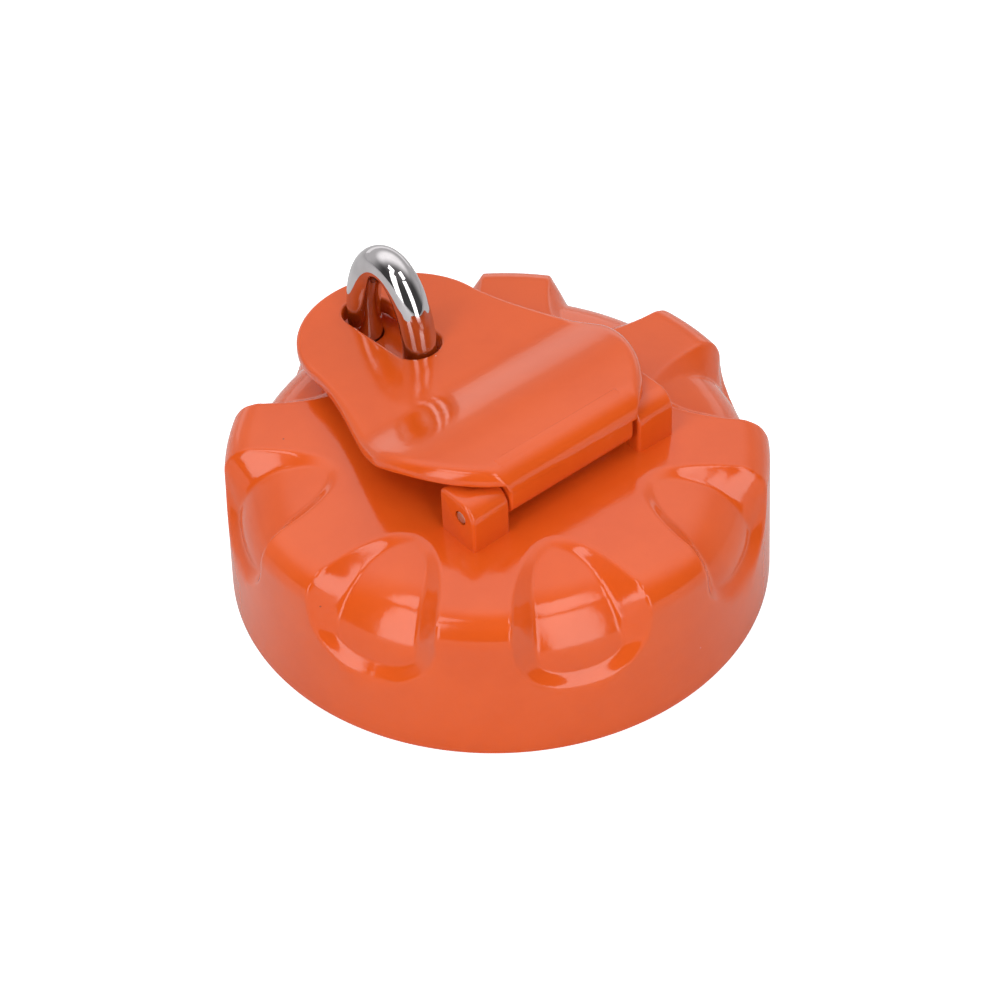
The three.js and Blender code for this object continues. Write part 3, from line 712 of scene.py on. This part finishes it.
PEEL, SPECKS, CLOUDS = peel_group(), speck_group(), cloud_group()
print("node groups:", PEEL.name, SPECKS.name, CLOUDS.name)


# %% Material helpers
def new_material(name):
    m = bpy.data.materials.new(name)
    m.use_nodes = True
    tree = m.node_tree
    return m, tree, tree.nodes["Principled BSDF"]


def place_group(tree, group, **values):
    n = tree.nodes.new("ShaderNodeGroup")
    n.node_tree = group
    for key, value in values.items():
        n.inputs[key].default_value = value
    return n


def mix_colour(tree, mask, below, above, amount=1.0):
    """Lays one colour over another where the mask is 1; each is a socket or a colour."""
    mix = tree.nodes.new("ShaderNodeMix")
    mix.data_type = "RGBA"
    if amount != 1.0:
        scaled = add(tree, "ShaderNodeMath", operation="MULTIPLY")
        scaled.inputs[1].default_value = amount
        tree.links.new(mask, scaled.inputs[0])
        mask = scaled.outputs[0]
    tree.links.new(mask, mix.inputs["Factor"])
    for socket, value in ((mix.inputs[6], below), (mix.inputs[7], above)):
        if isinstance(value, tuple):
            socket.default_value = (*value, 1)
        else:
            tree.links.new(value, socket)
    return mix.outputs[2]


def bump(tree, shader, height, strength, distance):
    b = add(tree, "ShaderNodeBump", Strength=strength, Distance=distance)
    tree.links.new(height, b.inputs["Height"])
    tree.links.new(b.outputs["Normal"], shader.inputs["Normal"])


# %% Enamel
def enamel():
    m, tree, shader = new_material("orange_enamel")
    drift = place_group(tree, CLOUDS, Scale=45.0, From=0.35, To=0.7)
    colour = mix_colour(tree, drift.outputs[0], (0.73, 0.097, 0.0105), (0.69, 0.087, 0.009))
    dust = place_group(tree, SPECKS, Scale=330.0, Size=0.045, Share=0.035)
    colour = mix_colour(tree, dust.outputs[0], colour, (0.85, 0.72, 0.66), 0.75)
    pits = place_group(tree, SPECKS, Scale=260.0, Size=0.06, Share=0.008)
    colour = mix_colour(tree, pits.outputs[0], colour, (0.12, 0.03, 0.015), 0.7)
    tree.links.new(colour, shader.inputs["Base Color"])
    rough = add(tree, "ShaderNodeMapRange")
    rough.inputs["To Min"].default_value = 0.10
    rough.inputs["To Max"].default_value = 0.16
    tree.links.new(drift.outputs[0], rough.inputs["Value"])
    tree.links.new(rough.outputs["Result"], shader.inputs["Roughness"])
    skin = place_group(tree, PEEL, Scale=380.0)
    bump(tree, shader, skin.outputs[0], 0.05, 0.0006)
    return m


ENAMEL = enamel()


# %% Bright plate and bare metals
def metal(name, colour, roughness, grain=0.0, spots=0.0):
    m, tree, shader = new_material(name)
    shader.inputs["Metallic"].default_value = 1
    drift = place_group(tree, CLOUDS, Scale=120.0, From=0.35, To=0.75)
    dull = tuple(c * 0.82 for c in colour)
    tone = mix_colour(tree, drift.outputs[0], colour, dull)
    if spots:
        marks = place_group(tree, SPECKS, Scale=500.0, Size=0.07, Share=spots)
        tone = mix_colour(tree, marks.outputs[0], tone, tuple(c * 0.3 for c in colour), 0.8)
    tree.links.new(tone, shader.inputs["Base Color"])
    rough = add(tree, "ShaderNodeMapRange")
    rough.inputs["To Min"].default_value = roughness
    rough.inputs["To Max"].default_value = roughness * 1.35
    tree.links.new(drift.outputs[0], rough.inputs["Value"])
    tree.links.new(rough.outputs["Result"], shader.inputs["Roughness"])
    skin = place_group(tree, PEEL, Scale=900.0)
    bump(tree, shader, skin.outputs[0], 0.03 + grain, 0.0002)
    return m


CHROME = metal("chrome_bar", (0.62, 0.59, 0.6), 0.035, 0.0, 0.02)
PIN_STEEL = metal("pin_steel", (0.6, 0.58, 0.56), 0.32, 0.1, 0.04)
ZINC = metal("zinc_steel", (0.66, 0.67, 0.69), 0.28, 0.08)
BOLT_STEEL = metal("bolt_steel", (0.5, 0.51, 0.52), 0.3, 0.1)
BRASS = metal("lock_brass", (0.72, 0.53, 0.22), 0.26, 0.06)
ALUMINIUM = metal("bare_aluminium", (0.68, 0.69, 0.7), 0.4, 0.2, 0.01)


def rubber():
    m, tree, shader = new_material("black_rubber")
    drift = place_group(tree, CLOUDS, Scale=90.0, From=0.4, To=0.7)
    tone = mix_colour(tree, drift.outputs[0], (0.022, 0.022, 0.023), (0.045, 0.043, 0.042))
    tree.links.new(tone, shader.inputs["Base Color"])
    shader.inputs["Roughness"].default_value = 0.62
    skin = place_group(tree, PEEL, Scale=1500.0)
    bump(tree, shader, skin.outputs[0], 0.25, 0.0004)
    return m


RUBBER = rubber()
print("materials:", len(bpy.data.materials))

# %% Put the materials on
BY_SLOT = {"orange_enamel": ENAMEL, "chrome_bar": CHROME, "pin_steel": PIN_STEEL,
           "zinc_steel": ZINC, "bolt_steel": BOLT_STEEL, "lock_brass": BRASS,
           "bare_aluminium": ALUMINIUM, "black_rubber": RUBBER}
for part in frame["record"]["subparts"]:
    o = nodes[part["node"]]
    o.data.materials.clear()
    o.data.materials.append(BY_SLOT[part["material_slot"]])
    pick(o)
    bpy.ops.object.shade_smooth_by_angle(angle=math.radians(28))
for piece, material in ((cap, ENAMEL), (flap, ENAMEL), (staple, CHROME), (pin, PIN_STEEL),
                        (coil, ZINC)):
    piece.data.materials.clear()
    piece.data.materials.append(material)
print("finished pieces:", [o.name for o in (cap, flap, staple, pin, coil)])

# %% [markdown]
# The studio: a white sweep under the cap, two soft boxes of two panes each, and a white
# card low behind the cap. The sky is brightest overhead, pale at the back and dim
# behind the camera, because bright plate only looks like metal when it has something
# dark to mirror.

# %% Floor
deselect_all()
bpy.ops.mesh.primitive_plane_add(size=6, location=(0, 0, -0.0002))
floor = bpy.context.object
floor.name = "floor"
paper, tree, shader = new_material("white_sweep")
shader.inputs["Base Color"].default_value = (0.7, 0.7, 0.7, 1)
shader.inputs["Roughness"].default_value = 0.9
seen = add(tree, "ShaderNodeLightPath")
glow = add(tree, "ShaderNodeEmission", Strength=0.85)
both = add(tree, "ShaderNodeAddShader")
share = add(tree, "ShaderNodeMixShader")
output = tree.nodes["Material Output"]
tree.links.new(shader.outputs[0], both.inputs[0])
tree.links.new(glow.outputs[0], both.inputs[1])
tree.links.new(seen.outputs["Is Camera Ray"], share.inputs[0])
tree.links.new(shader.outputs[0], share.inputs[1])
tree.links.new(both.outputs[0], share.inputs[2])
tree.links.new(share.outputs[0], output.inputs["Surface"])
floor.data.materials.append(paper)


# %% Lights
def soft_box(name, azimuth, elevation, distance, size, power):
    a, e = math.radians(azimuth), math.radians(elevation)
    away = Vector((math.cos(e) * math.cos(a), math.cos(e) * math.sin(a), math.sin(e)))
    bpy.ops.object.light_add(type="AREA")
    lamp = bpy.context.object
    lamp.name = name
    lamp.data.shape = "RECTANGLE"
    lamp.data.size, lamp.data.size_y = size
    lamp.data.energy = power
    lamp.matrix_world = (Matrix.Translation(away * distance)
                         @ away.to_track_quat("Z", "Y").to_matrix().to_4x4())
    return lamp


deselect_all()
PANE, CARD = 3.4, 0.5  # radiance
LAMP_DISTANCE = 1.1
for name, azimuth, elevation, size, radiance in (
        ("left_low", 193, 25, (0.42, 1.0), PANE),
        ("left_high", 184, 61, (0.36, 0.32), PANE),
        ("right_low", 259, 25, (0.42, 1.0), PANE),
        ("right_high", 268, 61, (0.36, 0.32), PANE),
        ("back_card", 51, 10, (1.9, 0.3), CARD)):
    power = radiance * math.pi * size[0] * size[1]
    soft_box(name, azimuth, elevation, LAMP_DISTANCE, size, power)

world = bpy.data.worlds.new("studio")
bpy.context.scene.world = world
world.use_nodes = True
tree = world.node_tree
direction = add(tree, "ShaderNodeTexCoord")


def world_ramp(toward, low, high, dark, light):
    """Brightness that rises from dark to light as a direction turns toward one way."""
    dot = add(tree, "ShaderNodeVectorMath", operation="DOT_PRODUCT")
    dot.inputs[1].default_value = toward
    tree.links.new(direction.outputs["Generated"], dot.inputs[0])
    ramp = add(tree, "ShaderNodeMapRange", interpolation_type="SMOOTHSTEP")
    for label, value in (("From Min", low), ("From Max", high), ("To Min", dark), ("To Max", light)):
        ramp.inputs[label].default_value = value
    tree.links.new(dot.outputs["Value"], ramp.inputs["Value"])
    return ramp.outputs["Result"]


sky = add(tree, "ShaderNodeMath", operation="MULTIPLY")
tree.links.new(world_ramp((0, 0, 1), 0.45, 0.8, 0.65, 1.5), sky.inputs[0])
tree.links.new(world_ramp((0.63, 0.78, 0), -0.35, 0.35, 0.12, 1.0), sky.inputs[1])
tree.links.new(sky.outputs[0], tree.nodes["Background"].inputs["Strength"])
tree.nodes["Background"].inputs["Color"].default_value = (1, 1, 1, 1)
bpy.context.scene.view_settings.view_transform = "Standard"
